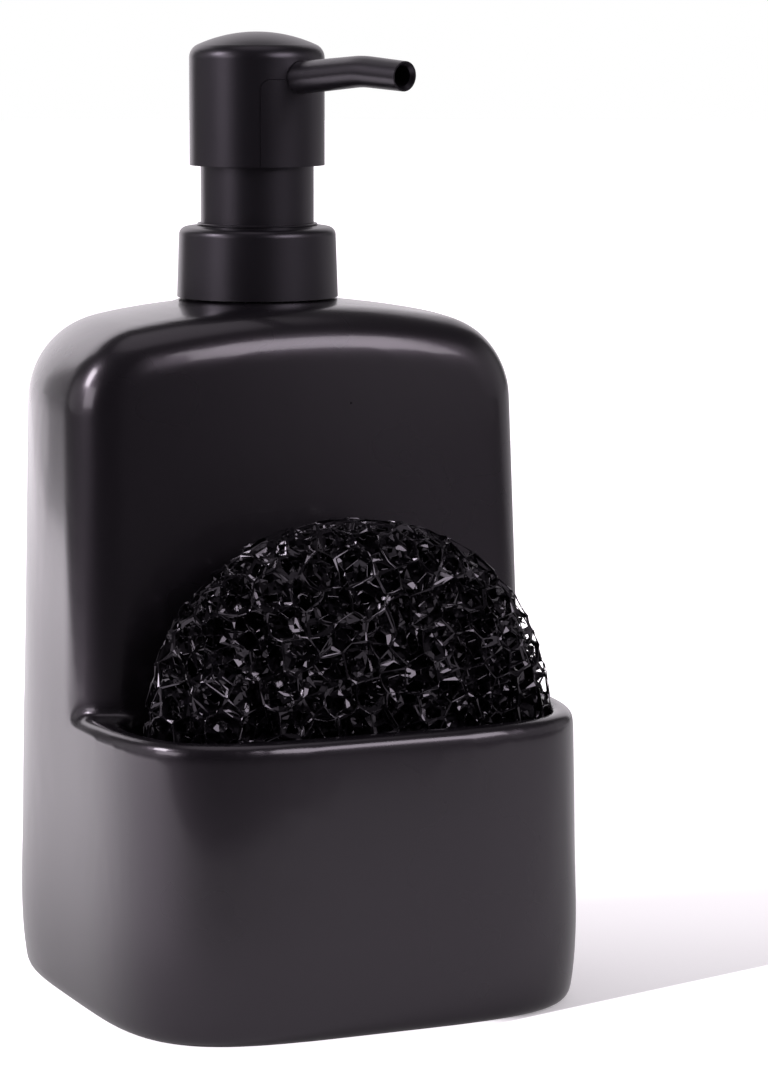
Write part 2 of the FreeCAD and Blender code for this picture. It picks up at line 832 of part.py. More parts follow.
def panel_box(name, gap):
    """The window in the head's side that the spout's panel fills, grown by gap."""
    drop = size("overrun") / 2 if gap.value > 0 else gap
    low = head_base - drop
    high = head_base + size("panel_height") + gap
    depth = size("head_radius") + size("overrun")
    item = spun_box(name + "_block", size("panel_half_width") + gap, depth, low, high)
    return rounded(name, item, size("panel_corner_radius") + gap,
                   lambda bounds, edge: bounds.ZMin > high.value - NEAR
                   and abs(edge.Length - depth.value) < NEAR)


def make_head_shell():
    outer = size("head_radius")
    inner = outer - size("head_wall")
    height = size("head_height")
    top = head_base + height
    dome = size("head_dome_radius")
    block = spun_cylinder("head_block", outer, head_base, top + size("head_wall"))
    ball = sphere("head_ball", dome, y=pump_y, z=top - dome)
    shell = common("head_domed", block, ball)
    shell = rounded("head_rounded", shell, size("head_edge_radius"),
                    lambda bounds, edge: bounds.ZMin > head_base.value + NEAR
                    and bounds.ZLength < NEAR and edge.Length > outer.value)
    hollow = spun_cylinder("head_hollow_block", inner, head_base - size("overrun"), top)
    hollow_ball = sphere("head_hollow_ball", dome - size("head_wall"), y=pump_y, z=top - dome)
    shell = cut("head_hollowed", shell, common("head_hollow", hollow, hollow_ball))
    shell = cut("head_windowed", shell, panel_box("head_window", size("panel_gap")))
    notch = spout_solid("spout_notch", size("spout_root_radius") + size("panel_gap"),
                        size("spout_tip_radius") + size("panel_gap"))
    return cut("head_shell", shell, notch)


def make_spout_actuator():
    outer = size("head_radius")
    inner = size("sleeve_radius") + size("sleeve_side_gap")
    web_low = head_base + size("web_rise")
    web_high = web_low + size("web_thickness")
    web_radius = outer - size("head_wall") - size("running_gap")
    core_low = head_base + size("core_rise")
    core = spun_cylinder("actuator_core", size("core_radius"), core_low,
                         spout_level + size("spout_root_radius"))
    web = spun_cylinder("actuator_web", web_radius, web_low, web_high)
    body = fuse("core_and_web", core, web)
    skin = spun_cylinder("panel_outer", outer, head_base, head_base + size("panel_height"))
    room = spun_cylinder("panel_inner", inner, head_base - size("overrun"), head_base + size("overrun"))
    panel = common("spout_panel", cut("panel_ring", skin, room), panel_box("panel_trim", size("panel_gap") * 0))
    body = fuse("core_and_panel", body, panel)
    spout = spout_solid("spout_outside", size("spout_root_radius"), size("spout_tip_radius"))
    body = fuse("actuator_solid", body, spout)
    socket = spun_cylinder("stem_socket", size("stem_radius") + size("fit_gap"), core_low - size("overrun"),
                           stem_top + size("running_gap"))
    body = cut("actuator_socketed", body, socket)
    channel = spun_cylinder("actuator_channel", size("stem_radius") - size("stem_wall"),
                            stem_top - size("running_gap"), spout_level)
    bore = spout_solid("spout_bore", size("spout_bore_radius"), size("spout_bore_radius"))
    body = cut("actuator_bored", body, fuse("actuator_passage", channel, bore))
    path, first, second, mouth = spout_path()
    cone = doc.addObject("Part::Cone", "mouth_cone")
    bind(cone, "Radius1", size("spout_bore_radius"))
    bind(cone, "Radius2", size("mouth_cone_radius"))
    bind(cone, "Height", size("mouth_cone_depth"))
    lean = Placement(mouth - second * size("mouth_cone_depth").value, Rotation(Vector(0, 0, 1), second))
    cone.Placement = turned_place(0, 0, spout_level.value).multiply(lean)
    return cut("spout_actuator", body, cone)


# Scrubber: a round pad stood on its edge in the pocket, full in the middle, with the open
# cells of its net as pits all over its surface

def scrubber_reach(point):
    """Below one inside the pad and above one outside it, for a point from the pad's centre."""
    height = abs(point.z) / size("scrubber_half_height").value
    if height >= 1:
        return height + 1
    round_power = size("scrubber_round_power").value
    plan = size("scrubber_plan_power").value
    girth = (1 - height ** round_power) ** (1 / round_power)
    across = abs(point.x) / (size("scrubber_half_width").value * girth)
    through = abs(point.y) / (size("scrubber_half_thickness").value * math.sqrt(girth))
    return (across ** plan + through ** plan) ** (1 / plan)


def scrubber_slope(point):
    """The direction and rate in which the pad's reach grows fastest at a point."""
    here = scrubber_reach(point)
    slopes = []
    for axis in (Vector(1, 0, 0), Vector(0, 1, 0), Vector(0, 0, 1)):
        slopes.append((scrubber_reach(point + axis * NEAR) - here) / NEAR)
    return Vector(*slopes)


def cell_centre(across, along, up):
    """Where a cell of the net lies from the pad's centre: an even packing, turned and waved."""
    cell = size("scrubber_cell").value
    turn = Rotation(Vector(NET_TURN_AXIS), NET_TURN_DEGREES)
    centre = turn.multVec(Vector(across, along, up) * (cell / 2))
    shift = Vector()
    for wave, share in enumerate(WAVE_LENGTH_SHARES):
        a, b, c = (step * wave for step in WAVE_HEADING_STEPS)
        heading = Vector(math.cos(a), math.sin(b), math.cos(c)).normalize()
        a, b, c = (step * wave for step in WAVE_PUSH_STEPS)
        push = Vector(math.sin(a), math.cos(b), math.sin(c + 1)).normalize()
        shift += push * math.sin(2 * math.pi * centre.dot(heading) / (cell * share))
    return centre + shift * size("scrubber_cell_shift").value


def scrubber_pits():
    """A ball for each cell of the net that opens at the pad's surface."""
    cell = size("scrubber_cell").value
    reach = int(math.ceil(2 * size("scrubber_half_height").value / cell)) + 2
    low_share, high_share = NEAR_SURFACE_SHARES
    balls = []
    for across in range(-reach, reach + 1):
        for along in range(-reach, reach + 1):
            for up in range(-reach, reach + 1):
                if across % 2 != along % 2 or along % 2 != up % 2:
                    continue
                centre = cell_centre(across, along, up)
                if not low_share < scrubber_reach(centre) < high_share:
                    continue
                outward = scrubber_slope(centre)
                depth = (1 - scrubber_reach(centre)) / outward.Length
                if -size("scrubber_pit_shallow").value < depth < size("scrubber_pit_deep").value:
                    ball = Part.makeSphere(size("scrubber_pit_radius").value)
                    ball.Placement = Placement(centre, Rotation(Vector(0, 0, 1), outward))
                    balls.append(ball)
    print("cells that open at the scrubber's surface: %d" % len(balls))
    return solid_feature("scrubber_pits", Part.makeCompound(balls))


def make_scrubber_pad():
    half_width = size("scrubber_half_width").value
    half_height = size("scrubber_half_height").value
    half_thick = size("scrubber_half_thickness").value
    plan = size("scrubber_plan_power").value
    round_power = size("scrubber_round_power").value
    sections = []
    for step in range(SCRUBBER_LEVELS + 1):
        turn = math.pi * (SCRUBBER_CAP_SHARE / 2 + step * (1 - SCRUBBER_CAP_SHARE) / SCRUBBER_LEVELS)
        height = -math.cos(turn)
        girth = (1 - abs(height) ** round_power) ** (1 / round_power)
        points = []
        for corner in range(SCRUBBER_POINTS):
            angle = 2 * math.pi * corner / SCRUBBER_POINTS
            reach = (abs(math.cos(angle)) ** plan + abs(math.sin(angle)) ** plan) ** (-1 / plan)
            points.append(Vector(half_width * girth * reach * math.cos(angle),
                                 half_thick * math.sqrt(girth) * reach * math.sin(angle),
                                 half_height * height))
        curve = Part.BSplineCurve()
        curve.interpolate(points, PeriodicFlag=True)
        sections.append(Part.Wire([curve.toShape()]))
    centre = size("pocket_floor").value + size("scrubber_gap").value + half_height
    pad = solid_feature("scrubber_form", Part.makeLoft(sections, True, False))
    item = cut("scrubber_pad", pad, scrubber_pits())
    item.Placement = Placement(Vector(0, -size("scrubber_advance").value, centre), Rotation())
    return item


PIECES = {
    "ceramic_body": make_ceramic_body,
    "neck_grommet": make_neck_grommet,
    "neck_insert": make_neck_insert,
    "cap_gasket": make_gasket,
    "closure_cap": make_closure_cap,
    "pump_housing": make_pump_housing,
    "check_ball": make_check_ball,
    "ball_retainer": make_ball_retainer,
    "dip_tube": make_dip_tube,
    "guide_sleeve": make_guide_sleeve,
    "stem_wiper": make_stem_wiper,
    "stem": make_stem,
    "piston_seal": make_piston_seal,
    "return_spring": make_return_spring,
    "head_shell": make_head_shell,
    "spout_actuator": make_spout_actuator,
    "scrubber_pad": make_scrubber_pad,
}

made = {}
for label, make in PIECES.items():
    made[label] = make()
    made[label].Label = label
doc.recompute()

for item in doc.Objects:
    if "Invalid" in item.State or "Error" in item.State:
        raise RuntimeError("%s was not built: %s" % (item.Label, item.State))
for label, item in made.items():
    shape = item.Shape
    if shape.isNull() or not shape.isValid():
        raise RuntimeError("%s has no valid shape" % label)
    if len(shape.Solids) != 1:
        raise RuntimeError("%s has %d solids" % (label, len(shape.Solids)))

os.makedirs("parts", exist_ok=True)
for label, item in made.items():
    item.Shape.exportStep("parts/%s.step" % label)
    bounds = item.Shape.BoundBox
    print("%-15s volume %9.1f  x %6.1f %6.1f  y %6.1f %6.1f  z %6.1f %6.1f" % (
        label, item.Shape.Volume, bounds.XMin, bounds.XMax, bounds.YMin, bounds.YMax,
        bounds.ZMin, bounds.ZMax))
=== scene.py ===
import json
import math

import bpy
import numpy as np
from mathutils import Matrix, Vector


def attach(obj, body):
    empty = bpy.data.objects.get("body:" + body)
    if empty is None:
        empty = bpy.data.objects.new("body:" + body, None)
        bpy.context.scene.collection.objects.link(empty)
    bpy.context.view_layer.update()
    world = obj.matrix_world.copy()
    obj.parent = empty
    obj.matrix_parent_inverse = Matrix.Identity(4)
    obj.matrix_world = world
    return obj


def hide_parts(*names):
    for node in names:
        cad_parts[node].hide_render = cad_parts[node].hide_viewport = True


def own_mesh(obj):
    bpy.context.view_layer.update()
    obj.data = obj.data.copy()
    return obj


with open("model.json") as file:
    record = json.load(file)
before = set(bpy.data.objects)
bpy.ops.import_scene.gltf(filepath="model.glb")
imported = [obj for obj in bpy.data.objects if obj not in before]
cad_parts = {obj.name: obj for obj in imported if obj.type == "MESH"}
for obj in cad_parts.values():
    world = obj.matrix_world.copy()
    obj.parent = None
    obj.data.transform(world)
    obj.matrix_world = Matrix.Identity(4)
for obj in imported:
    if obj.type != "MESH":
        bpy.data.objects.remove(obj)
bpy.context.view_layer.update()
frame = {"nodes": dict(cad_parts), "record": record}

bpy.ops.object.select_all(action="DESELECT")

# Node helpers, for materials, the grain group and the world


def joined(tree, operation, *values):
    """A math node of other nodes' outputs and plain numbers."""
    node = tree.nodes.new("ShaderNodeMath")
    node.operation = operation
    for socket, value in zip(node.inputs, values):
        if isinstance(value, (int, float)):
            socket.default_value = value
        else:
            tree.links.new(value, socket)
    return node.outputs[0]


def ramp(tree, value, span, at_low, at_high):
    """Smooth from at_low, where value is at the span's low end, to at_high at its high end."""
    node = tree.nodes.new("ShaderNodeMapRange")
    node.interpolation_type = "SMOOTHSTEP"
    node.inputs["From Min"].default_value = span[0]
    node.inputs["From Max"].default_value = span[1]
    node.inputs["To Min"].default_value = at_low
    node.inputs["To Max"].default_value = at_high
    tree.links.new(value, node.inputs["Value"])
    return node.outputs["Result"]


def along(tree, place, direction):
    """How far a place lies along a direction."""
    dot = tree.nodes.new("ShaderNodeVectorMath")
    dot.operation = "DOT_PRODUCT"
    dot.inputs[1].default_value = direction
    tree.links.new(place, dot.inputs[0])
    return dot.outputs["Value"]


def noise(tree, place, scale, detail):
    """Noise at a place, with its scale from another node."""
    node = tree.nodes.new("ShaderNodeTexNoise")
    node.inputs["Detail"].default_value = detail
    tree.links.new(place, node.inputs["Vector"])
    tree.links.new(scale, node.inputs["Scale"])
    return node.outputs["Fac"]


def new_material(name):
    """A material with only a Principled BSDF and its output; returns it with its tree and shader."""
    material = bpy.data.materials.new(name)
    material.use_nodes = True
    tree = material.node_tree
    tree.nodes.clear()
    out = tree.nodes.new("ShaderNodeOutputMaterial")
    shader = tree.nodes.new("ShaderNodeBsdfPrincipled")
    tree.links.new(shader.outputs["BSDF"], out.inputs["Surface"])
    return material, tree, shader


def set_sockets(node, values):
    """Sets a node's inputs by name."""
    for label, value in values.items():
        node.inputs[label].default_value = value


# Surface grain, which every finish uses

GRAIN_INPUTS = (
    ("Tone", "NodeSocketColor", (0.5, 0.5, 0.5, 1)),
    ("Tone Shift", "NodeSocketFloat", 0.1),
    ("Patch Scale", "NodeSocketFloat", 40.0),
    ("Roughness", "NodeSocketFloat", 0.4),
    ("Roughness Shift", "NodeSocketFloat", 0.1),
    ("Grain Scale", "NodeSocketFloat", 1500.0),
    ("Grain Height", "NodeSocketFloat", 0.00001),
)
GRAIN_OUTPUTS = (
    ("Color", "NodeSocketColor"),
    ("Rough", "NodeSocketFloat"),
    ("Normal", "NodeSocketVector"),
)
PATCH_DETAIL = 3
GRAIN_DETAIL = 2
NOISE_MIDDLE = 0.5


def make_grain_group():
    """Soft grain for any finish: a colour that drifts, a roughness that drifts, and a fine relief."""
    group = bpy.data.node_groups.new("surface_grain", "ShaderNodeTree")
    for label, kind, value in GRAIN_INPUTS:
        socket = group.interface.new_socket(label, in_out="INPUT", socket_type=kind)
        socket.default_value = value
    for label, kind in GRAIN_OUTPUTS:
        group.interface.new_socket(label, in_out="OUTPUT", socket_type=kind)
    given = group.nodes.new("NodeGroupInput").outputs
    result = group.nodes.new("NodeGroupOutput").inputs
    place = group.nodes.new("ShaderNodeTexCoord").outputs["Object"]
    patches = noise(group, place, given["Patch Scale"], PATCH_DETAIL)
    spread = joined(group, "SUBTRACT", patches, NOISE_MIDDLE)
    tint = group.nodes.new("ShaderNodeVectorMath")
    tint.operation = "SCALE"
    group.links.new(given["Tone"], tint.inputs[0])
    group.links.new(joined(group, "MULTIPLY_ADD", spread, given["Tone Shift"], 1.0), tint.inputs["Scale"])
    group.links.new(tint.outputs[0], result["Color"])
    rough = joined(group, "MULTIPLY_ADD", spread, given["Roughness Shift"], given["Roughness"])
    group.links.new(rough, result["Rough"])
    bump = group.nodes.new("ShaderNodeBump")
    bump.inputs["Strength"].default_value = 1
    group.links.new(given["Grain Height"], bump.inputs["Distance"])
    group.links.new(noise(group, place, given["Grain Scale"], GRAIN_DETAIL), bump.inputs["Height"])
    group.links.new(bump.outputs["Normal"], result["Normal"])
    return group


grain_group = make_grain_group()


def grained(name, tone, tone_shift, patch_scale, roughness, roughness_shift, grain_scale, grain_height):
    """A finish whose colour, roughness and relief come from the shared grain; returns it with its shader."""
    material, tree, shader = new_material(name)
    grain = tree.nodes.new("ShaderNodeGroup")
    grain.node_tree = grain_group
    set_sockets(grain, {
        "Tone": (*tone, 1),
        "Tone Shift": tone_shift,
        "Patch Scale": patch_scale,
        "Roughness": roughness,
        "Roughness Shift": roughness_shift,
        "Grain Scale": grain_scale,
        "Grain Height": grain_height,
    })
    tree.links.new(grain.outputs["Color"], shader.inputs["Base Color"])
    tree.links.new(grain.outputs["Rough"], shader.inputs["Roughness"])
    tree.links.new(grain.outputs["Normal"], shader.inputs["Normal"])
    return material, shader


# Finishes: the blacks mirror a little violet


def make_black_glaze():
    """Satin glaze with a thin, smoother gloss on top."""
    glaze, shader = grained(
        "black_satin_glaze", tone=(0.0044, 0.0036, 0.0050), tone_shift=0.25, patch_scale=25,
        roughness=0.27, roughness_shift=0.04, grain_scale=900, grain_height=0.000003)
    set_sockets(shader, {
        "IOR": 1.5,
        "Specular Tint": (0.97, 0.85, 1.0, 1),
        "Coat Weight": 0.35,
        "Coat Roughness": 0.1,
        "Coat IOR": 1.5,
    })
    return glaze


def make_pump_plastic():
    """Moulded black plastic with a fine satin grain."""
    plastic, shader = grained(
        "pump_black_plastic", tone=(0.0034, 0.0028, 0.0040), tone_shift=0.15, patch_scale=60,
        roughness=0.34, roughness_shift=0.04, grain_scale=2600, grain_height=0.000006)
    set_sockets(shader, {"IOR": 1.5, "Specular Tint": (0.94, 0.85, 1.0, 1)})
    return plastic


def make_natural_plastic():
    """Uncoloured plastic of the parts inside the pump."""
    return grained(
        "natural_plastic", tone=(0.70, 0.71, 0.70), tone_shift=0.08, patch_scale=50,
        roughness=0.38, roughness_shift=0.08, grain_scale=1800, grain_height=0.000008)[0]


def make_soft_seal():
    """Pale soft rubber."""
    return grained(
        "soft_seal", tone=(0.50, 0.50, 0.49), tone_shift=0.1, patch_scale=70,
        roughness=0.62, roughness_shift=0.1, grain_scale=2200, grain_height=0.00001)[0]


def make_bright_steel():
    """Drawn wire and polished ball."""
    steel, shader = grained(
        "bright_steel", tone=(0.62, 0.61, 0.59), tone_shift=0.1, patch_scale=300,
        roughness=0.22, roughness_shift=0.12, grain_scale=3000, grain_height=0.000003)
    set_sockets(shader, {"Metallic": 1})
    return steel


def make_net_film():
    """Glossy black film of the scrubber's net."""
    film, shader = grained(
        "black_net_film", tone=(0.0036, 0.0030, 0.0042), tone_shift=0.5, patch_scale=160,
        roughness=0.12, roughness_shift=0.14, grain_scale=700, grain_height=0.00001)
    set_sockets(shader, {"IOR": 1.5, "Specular Tint": (0.95, 0.87, 1.0, 1)})
    return film


FINISHES = {
    "glaze": make_black_glaze(),
    "pump_plastic": make_pump_plastic(),
    "clear_plastic": make_natural_plastic(),
    "seal": make_soft_seal(),
    "steel": make_bright_steel(),
    "scrubber": make_net_film(),
}


def finish_nodes():
    """Gives each CAD node the finish of its slot in the record."""
    for part in frame["record"]["subparts"]:
        node = frame["nodes"][part["node"]]
        node.data.materials.clear()
        node.data.materials.append(FINISHES[part["material_slot"]])


finish_nodes()

# Pieces made from a CAD node's own shape


def merged_copy(node, name, gap):
    """A selected copy of a CAD node, its loose triangles joined where their corners are within gap."""
    piece = bpy.data.objects.new(name, frame["nodes"][node].data.copy())
    bpy.context.scene.collection.objects.link(piece)
    bpy.context.view_layer.objects.active = piece
    piece.select_set(True)
    bpy.ops.object.mode_set(mode="EDIT")
    bpy.ops.mesh.select_all(action="SELECT")
    bpy.ops.mesh.remove_doubles(threshold=gap)
    bpy.ops.object.mode_set(mode="OBJECT")
    bpy.ops.mesh.customdata_custom_splitnormals_clear()
    return piece


# Ceramic body: the CAD body with its meeting lines softened as glaze softens them

GLAZE_MERGE_GAP = 0.00002
GLAZE_VOXEL = 0.0008
GLAZE_SOFTENING = 0.5
GLAZE_SOFTENING_ROUNDS = 14
GLAZE_MOST_TRIANGLES = 190000


def make_glazed_body():
    body = merged_copy("ceramic_body", "glazed_body", GLAZE_MERGE_GAP)
    remesh = body.modifiers.new("remesh", "REMESH")
    remesh.mode = "VOXEL"
    remesh.voxel_size = GLAZE_VOXEL
    bpy.ops.object.modifier_apply(modifier="remesh")
    smooth = body.modifiers.new("smooth", "SMOOTH")
    smooth.factor = GLAZE_SOFTENING
    smooth.iterations = GLAZE_SOFTENING_ROUNDS
    bpy.ops.object.modifier_apply(modifier="smooth")
    triangles = sum(len(polygon.vertices) - 2 for polygon in body.data.polygons)
    thinned = body.modifiers.new("thinned", "DECIMATE")
    thinned.ratio = min(1.0, GLAZE_MOST_TRIANGLES / triangles)
    bpy.ops.object.modifier_apply(modifier="thinned")
    bpy.ops.object.shade_smooth()
    body.select_set(False)
    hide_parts("ceramic_body")
    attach(body, "base")


make_glazed_body()

# Return spring: a smooth copy of the CAD spring, which sits between its retainer and the stem's foot and is
# carried with the plunger

COIL_MERGE_GAP = 0.00001
COIL_SMOOTH_DEGREES = 40


def make_coil():
    coil = merged_copy("return_spring", "coil_spring", COIL_MERGE_GAP)
    bpy.ops.object.shade_smooth_by_angle(angle=math.radians(COIL_SMOOTH_DEGREES))
    coil.select_set(False)
    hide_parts("return_spring")
    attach(coil, "plunger")
    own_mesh(coil)


make_coil()

# Scrubber: an open net of thin black film, its cells on the same packing as the pits of the CAD pad

# The net's sizes are in mm, the pad's from its centre to its sides, and it is made round that centre
MM = 0.001
PAD_WIDE, PAD_THICK, PAD_TALL = 43.9, 14.7, 45.6
PAD_PLAN, PAD_ROUND = 2.5, 2.2
PAD_CENTRE = np.array((0.0, -29.4, 55.5))
SMALLEST_GIRTH = 1e-6
NET_REACH = 52
NET_TURN_AXIS = (3, 8, 5)
NET_TURN_DEGREES = 35

# The net is bent by waves, each with its own length, in cells, and its own heading and push
WAVE_LENGTH_SHARES = (2.6, 3.3, 4.1, 5.0)
WAVE_HEADING_STEP, WAVE_RISE_STEP = 2.4, 1.1
WAVE_PUSH_STEPS = (1.9, 3.1, 0.7)

# An outer layer of cells, and finer ones inside it: size, unevenness and depths below the surface
CELL = 8.0
INNER_CELL = CELL * 0.55
CELL_SHIFT = 0.4
OUTER_JITTER, INNER_JITTER = 0.055, 0.09
OUTER_DEPTHS = (0.0, 8.5)
INNER_DEPTHS = (1.0, 7.0)
RANDOM_SEED = 7

# Each thread's radius at its ends and in its middle
WALL_THREAD = (0.28, 0.09)
SKIN_THREAD = (0.26, 0.08)
INNER_THREAD = (0.15, 0.06)
SHORTEST_THREAD = 0.25
THREAD_TWIST = 0.5
THREAD_SIZE_SPREAD = 0.25
THREAD_BOW = 0.07
THREAD_CORNERS = 3
THREAD_RIDGE, THREAD_FLANK = 1.5, 0.8
NEARLY_UPRIGHT = 0.8

# Films: the share of cell walls that have one, the usual width of its rim, the share of the way to the
# middle that the rim may take, and half its thickness
OUTER_FILM = {"share": 0.85, "rim": 0.85, "widest": 0.62, "half": 0.035}
INNER_FILM = {"share": 0.75, "rim": 1.3, "widest": 0.88, "half": 0.03}
SMALLEST_WALL = 6.0
RIM_SPREAD = 0.45
RIM_NARROWEST = 0.05

# The whole-number grid that the cells stand on: their centres are in two sets, the second half a cell on
GRID_STEP = 4
GRID_SETS = (0, 2)
GRID_MARGIN = 64
SQUARE_TURNS = ((1, 0), (0, 1), (-1, 0), (0, -1))
SIX_SIDED_FACE = ((0, 1, 2), (1, 0, 2), (2, 0, 1), (2, 1, 0), (1, 2, 0), (0, 2, 1))
SIX_SIDED_SIGNS = ((1, 1, 1), (1, 1, -1), (1, -1, 1), (-1, 1, 1))
SKIN_HALVINGS = 7


def pad_level(points, depth=0.0):
    """Below 1 inside the round pad shrunk by depth, above 1 outside it; points are from its centre."""
    height = np.abs(points[:, 2]) / (PAD_TALL - depth)
    girth = np.clip(1 - height ** PAD_ROUND, SMALLEST_GIRTH, 1) ** (1 / PAD_ROUND)
    across = (np.abs(points[:, 0]) / ((PAD_WIDE - depth) * girth)) ** PAD_PLAN
    through = (np.abs(points[:, 1]) / ((PAD_THICK - depth) * np.sqrt(girth))) ** PAD_PLAN
    return (across + through) ** (1 / PAD_PLAN)


def cell_faces():
    """Half of one foam cell's square and six-sided faces, as the rest belong to its neighbours."""
    faces = []
    for axis in range(3):
        square = []
        for a, b in SQUARE_TURNS:
            corner = [a, b]
            corner.insert(axis, 2)
            square.append(corner)
        faces.append(square)
    for signs in SIX_SIDED_SIGNS:
        faces.append([[c * s for c, s in zip(corner, signs)] for corner in SIX_SIDED_FACE])
    return faces


def lattice_faces(reach):
    """The grid places of all foam corners within reach, and each face's corner numbers."""
    centres = []
    for start in GRID_SETS:
        steps = np.arange(-reach, reach + 1) * GRID_STEP + start
        centres.append(np.array(np.meshgrid(steps, steps, steps)).reshape(3, -1).T)
    centres = np.concatenate(centres)
    faces = [centres[:, None, :] + np.array(corners)[None, :, :] for corners in cell_faces()]
    keys = np.concatenate([face.reshape(-1, 3) for face in faces])
    span = 2 * GRID_STEP * reach + GRID_MARGIN
    codes = ((keys[:, 0] + span) * 2 * span + keys[:, 1] + span) * 2 * span + keys[:, 2] + span
    _, first, numbers = np.unique(codes, return_index=True, return_inverse=True)
    loops = []
    at = 0
    for face in faces:
        count = face.shape[0] * face.shape[1]
        loops.append(numbers[at:at + count].reshape(face.shape[0], face.shape[1]))
        at += count
    return keys[first].astype(float), loops


def foam_corners(corners, cell, shift, jitter, rng):
    """The grid's corners turned, waved and shaken into uneven cells of the right size."""
    turn = Matrix.Rotation(math.radians(NET_TURN_DEGREES), 3, Vector(NET_TURN_AXIS).normalized())
    places = (corners * cell / GRID_STEP) @ np.array(turn).T
    wave = np.zeros_like(places)
    push_x, push_y, push_z = WAVE_PUSH_STEPS
    for step, share in enumerate(WAVE_LENGTH_SHARES):
        bearing = WAVE_HEADING_STEP * step
        heading = np.array((math.cos(bearing), math.sin(bearing), math.cos(WAVE_RISE_STEP * step)))
        push = np.array((math.sin(push_x * step), math.cos(push_y * step), math.sin(push_z * step + 1)))
        heading /= np.linalg.norm(heading)
        push /= np.linalg.norm(push)
        wave += np.outer(np.sin(places @ heading * 2 * math.pi / (cell * share)), push)
    places = places + shift * wave
    return places + rng.normal(scale=jitter * cell, size=places.shape)


def net_lines(cell, shift, jitter, depths, rng):
    """The net of one layer of the pad, between two depths: its points, the pairs of points that its threads
    join, where its skin points start, and its cell walls."""
    outer, inner = depths
    corners, loops = lattice_faces(int(math.ceil(NET_REACH / cell)) + 1)
    places = foam_corners(corners, cell, shift, jitter, rng)
    inside = pad_level(places, outer) < 1
    core = pad_level(places, inner) < 1
    pairs = set()
    skin_points = {}
    skin_places = []
    walls = []

    def crossing(a, b):
        """The point where the thread from a, inside, to b, outside, meets the layer's surface."""
        key = (a, b)
        if key not in skin_points:
            low, high = 0.0, 1.0
            for _ in range(SKIN_HALVINGS):
                middle = (low + high) / 2
                here = places[a] + (places[b] - places[a]) * middle
                if pad_level(here[None, :], outer)[0] < 1:
                    low = middle
                else:
                    high = middle
            skin_points[key] = len(places) + len(skin_places)
            skin_places.append(places[a] + (places[b] - places[a]) * low)
        return skin_points[key]

    def walk(face):
        """Adds one cell face's threads, and its wall, cut off at the layer's surface."""
        met = []
        wall = []
        for i, a in enumerate(face):
            b = face[(i + 1) % len(face)]
            if inside[a]:
                wall.append(a)
            if inside[a] and inside[b]:
                if not (core[a] and core[b]):
                    pairs.add((min(a, b), max(a, b)))
            elif inside[a] != inside[b]:
                a, b = (a, b) if inside[a] else (b, a)
                point = crossing(a, b)
                pairs.add((a, point))
                met.append(point)
                wall.append(point)
        for i in range(0, len(met) - 1, 2):
            if met[i] != met[i + 1]:
                pairs.add((min(met[i], met[i + 1]), max(met[i], met[i + 1])))
        if len(wall) > 2:
            walls.append(wall)

    for loop in loops:
        for face in loop[inside[loop].any(axis=1) & ~core[loop].all(axis=1)]:
            walk(face.tolist())
    points = np.concatenate([places, np.array(skin_places)])
    return points, np.array(sorted(pairs)), len(places), walls


def thread_mesh(points, pairs, radii, rng):
    """Three-sided threads, thick at their ends and thin in the middle, as vertices and faces."""
    thick, thin = radii
    start, end = points[pairs[:, 0]], points[pairs[:, 1]]
    heading = end - start
    length = np.linalg.norm(heading, axis=1, keepdims=True)
    keep = length[:, 0] > SHORTEST_THREAD
    start, end, heading, length = start[keep], end[keep], heading[keep], length[keep]
    heading = heading / length
    helper = np.where(np.abs(heading[:, 2:3]) < NEARLY_UPRIGHT, (0.0, 0.0, 1.0), (1.0, 0.0, 0.0))
    side = np.cross(heading, helper)
    side /= np.linalg.norm(side, axis=1, keepdims=True)
    other = np.cross(heading, side)
    count = len(start)
    turn = rng.uniform(0, 2 * math.pi, count)
    twist = rng.normal(scale=THREAD_TWIST, size=count)
    girth = rng.lognormal(0, THREAD_SIZE_SPREAD, count)
    bow = rng.normal(scale=THREAD_BOW, size=(count, 3)) * length
    rings = []
    for share, radius in ((0.0, thick), (0.5, thin), (1.0, thick)):
        middle = start + (end - start) * share + bow * (share * (1 - share) * 4)
        for corner in range(THREAD_CORNERS):
            angle = turn + twist * share + corner * 2 * math.pi / THREAD_CORNERS
            size = radius * girth * (THREAD_RIDGE if corner == 0 else THREAD_FLANK)
            offset = side * (np.cos(angle) * size)[:, None] + other * (np.sin(angle) * size)[:, None]
            rings.append(middle + offset)
    vertices = np.stack(rings, axis=1).reshape(-1, 3)
    base = np.arange(count)[:, None] * len(rings)
    quads = []
    for ring in (0, THREAD_CORNERS):
        for corner in range(THREAD_CORNERS):
            following = (corner + 1) % THREAD_CORNERS
            low, low_next = base + ring + corner, base + ring + following
            high, high_next = low + THREAD_CORNERS, low_next + THREAD_CORNERS
            quads.append(np.concatenate((low, low_next, high_next, high), axis=1))
    last = base + len(rings) - THREAD_CORNERS
    caps = [np.concatenate((base + 2, base + 1, base), axis=1),
            np.concatenate((last, last + 1, last + 2), axis=1)]
    return vertices, np.concatenate(quads).tolist() + np.concatenate(caps).tolist()


def plate(outline, inner, normal, half):
    """A thin flat plate between two closed lines of points, both with the same count."""
    count = len(outline)
    lift = normal * half
    vertices = np.concatenate((outline + lift, inner + lift, outline - lift, inner - lift))
    faces = []
    for i in range(count):
        j = (i + 1) % count
        faces.append((i, j, count + j, count + i))
        faces.append((2 * count + j, 2 * count + i, 3 * count + i, 3 * count + j))
        faces.append((i, 2 * count + i, 2 * count + j, j))
        faces.append((count + j, 3 * count + j, 3 * count + i, count + i))
    return vertices, faces


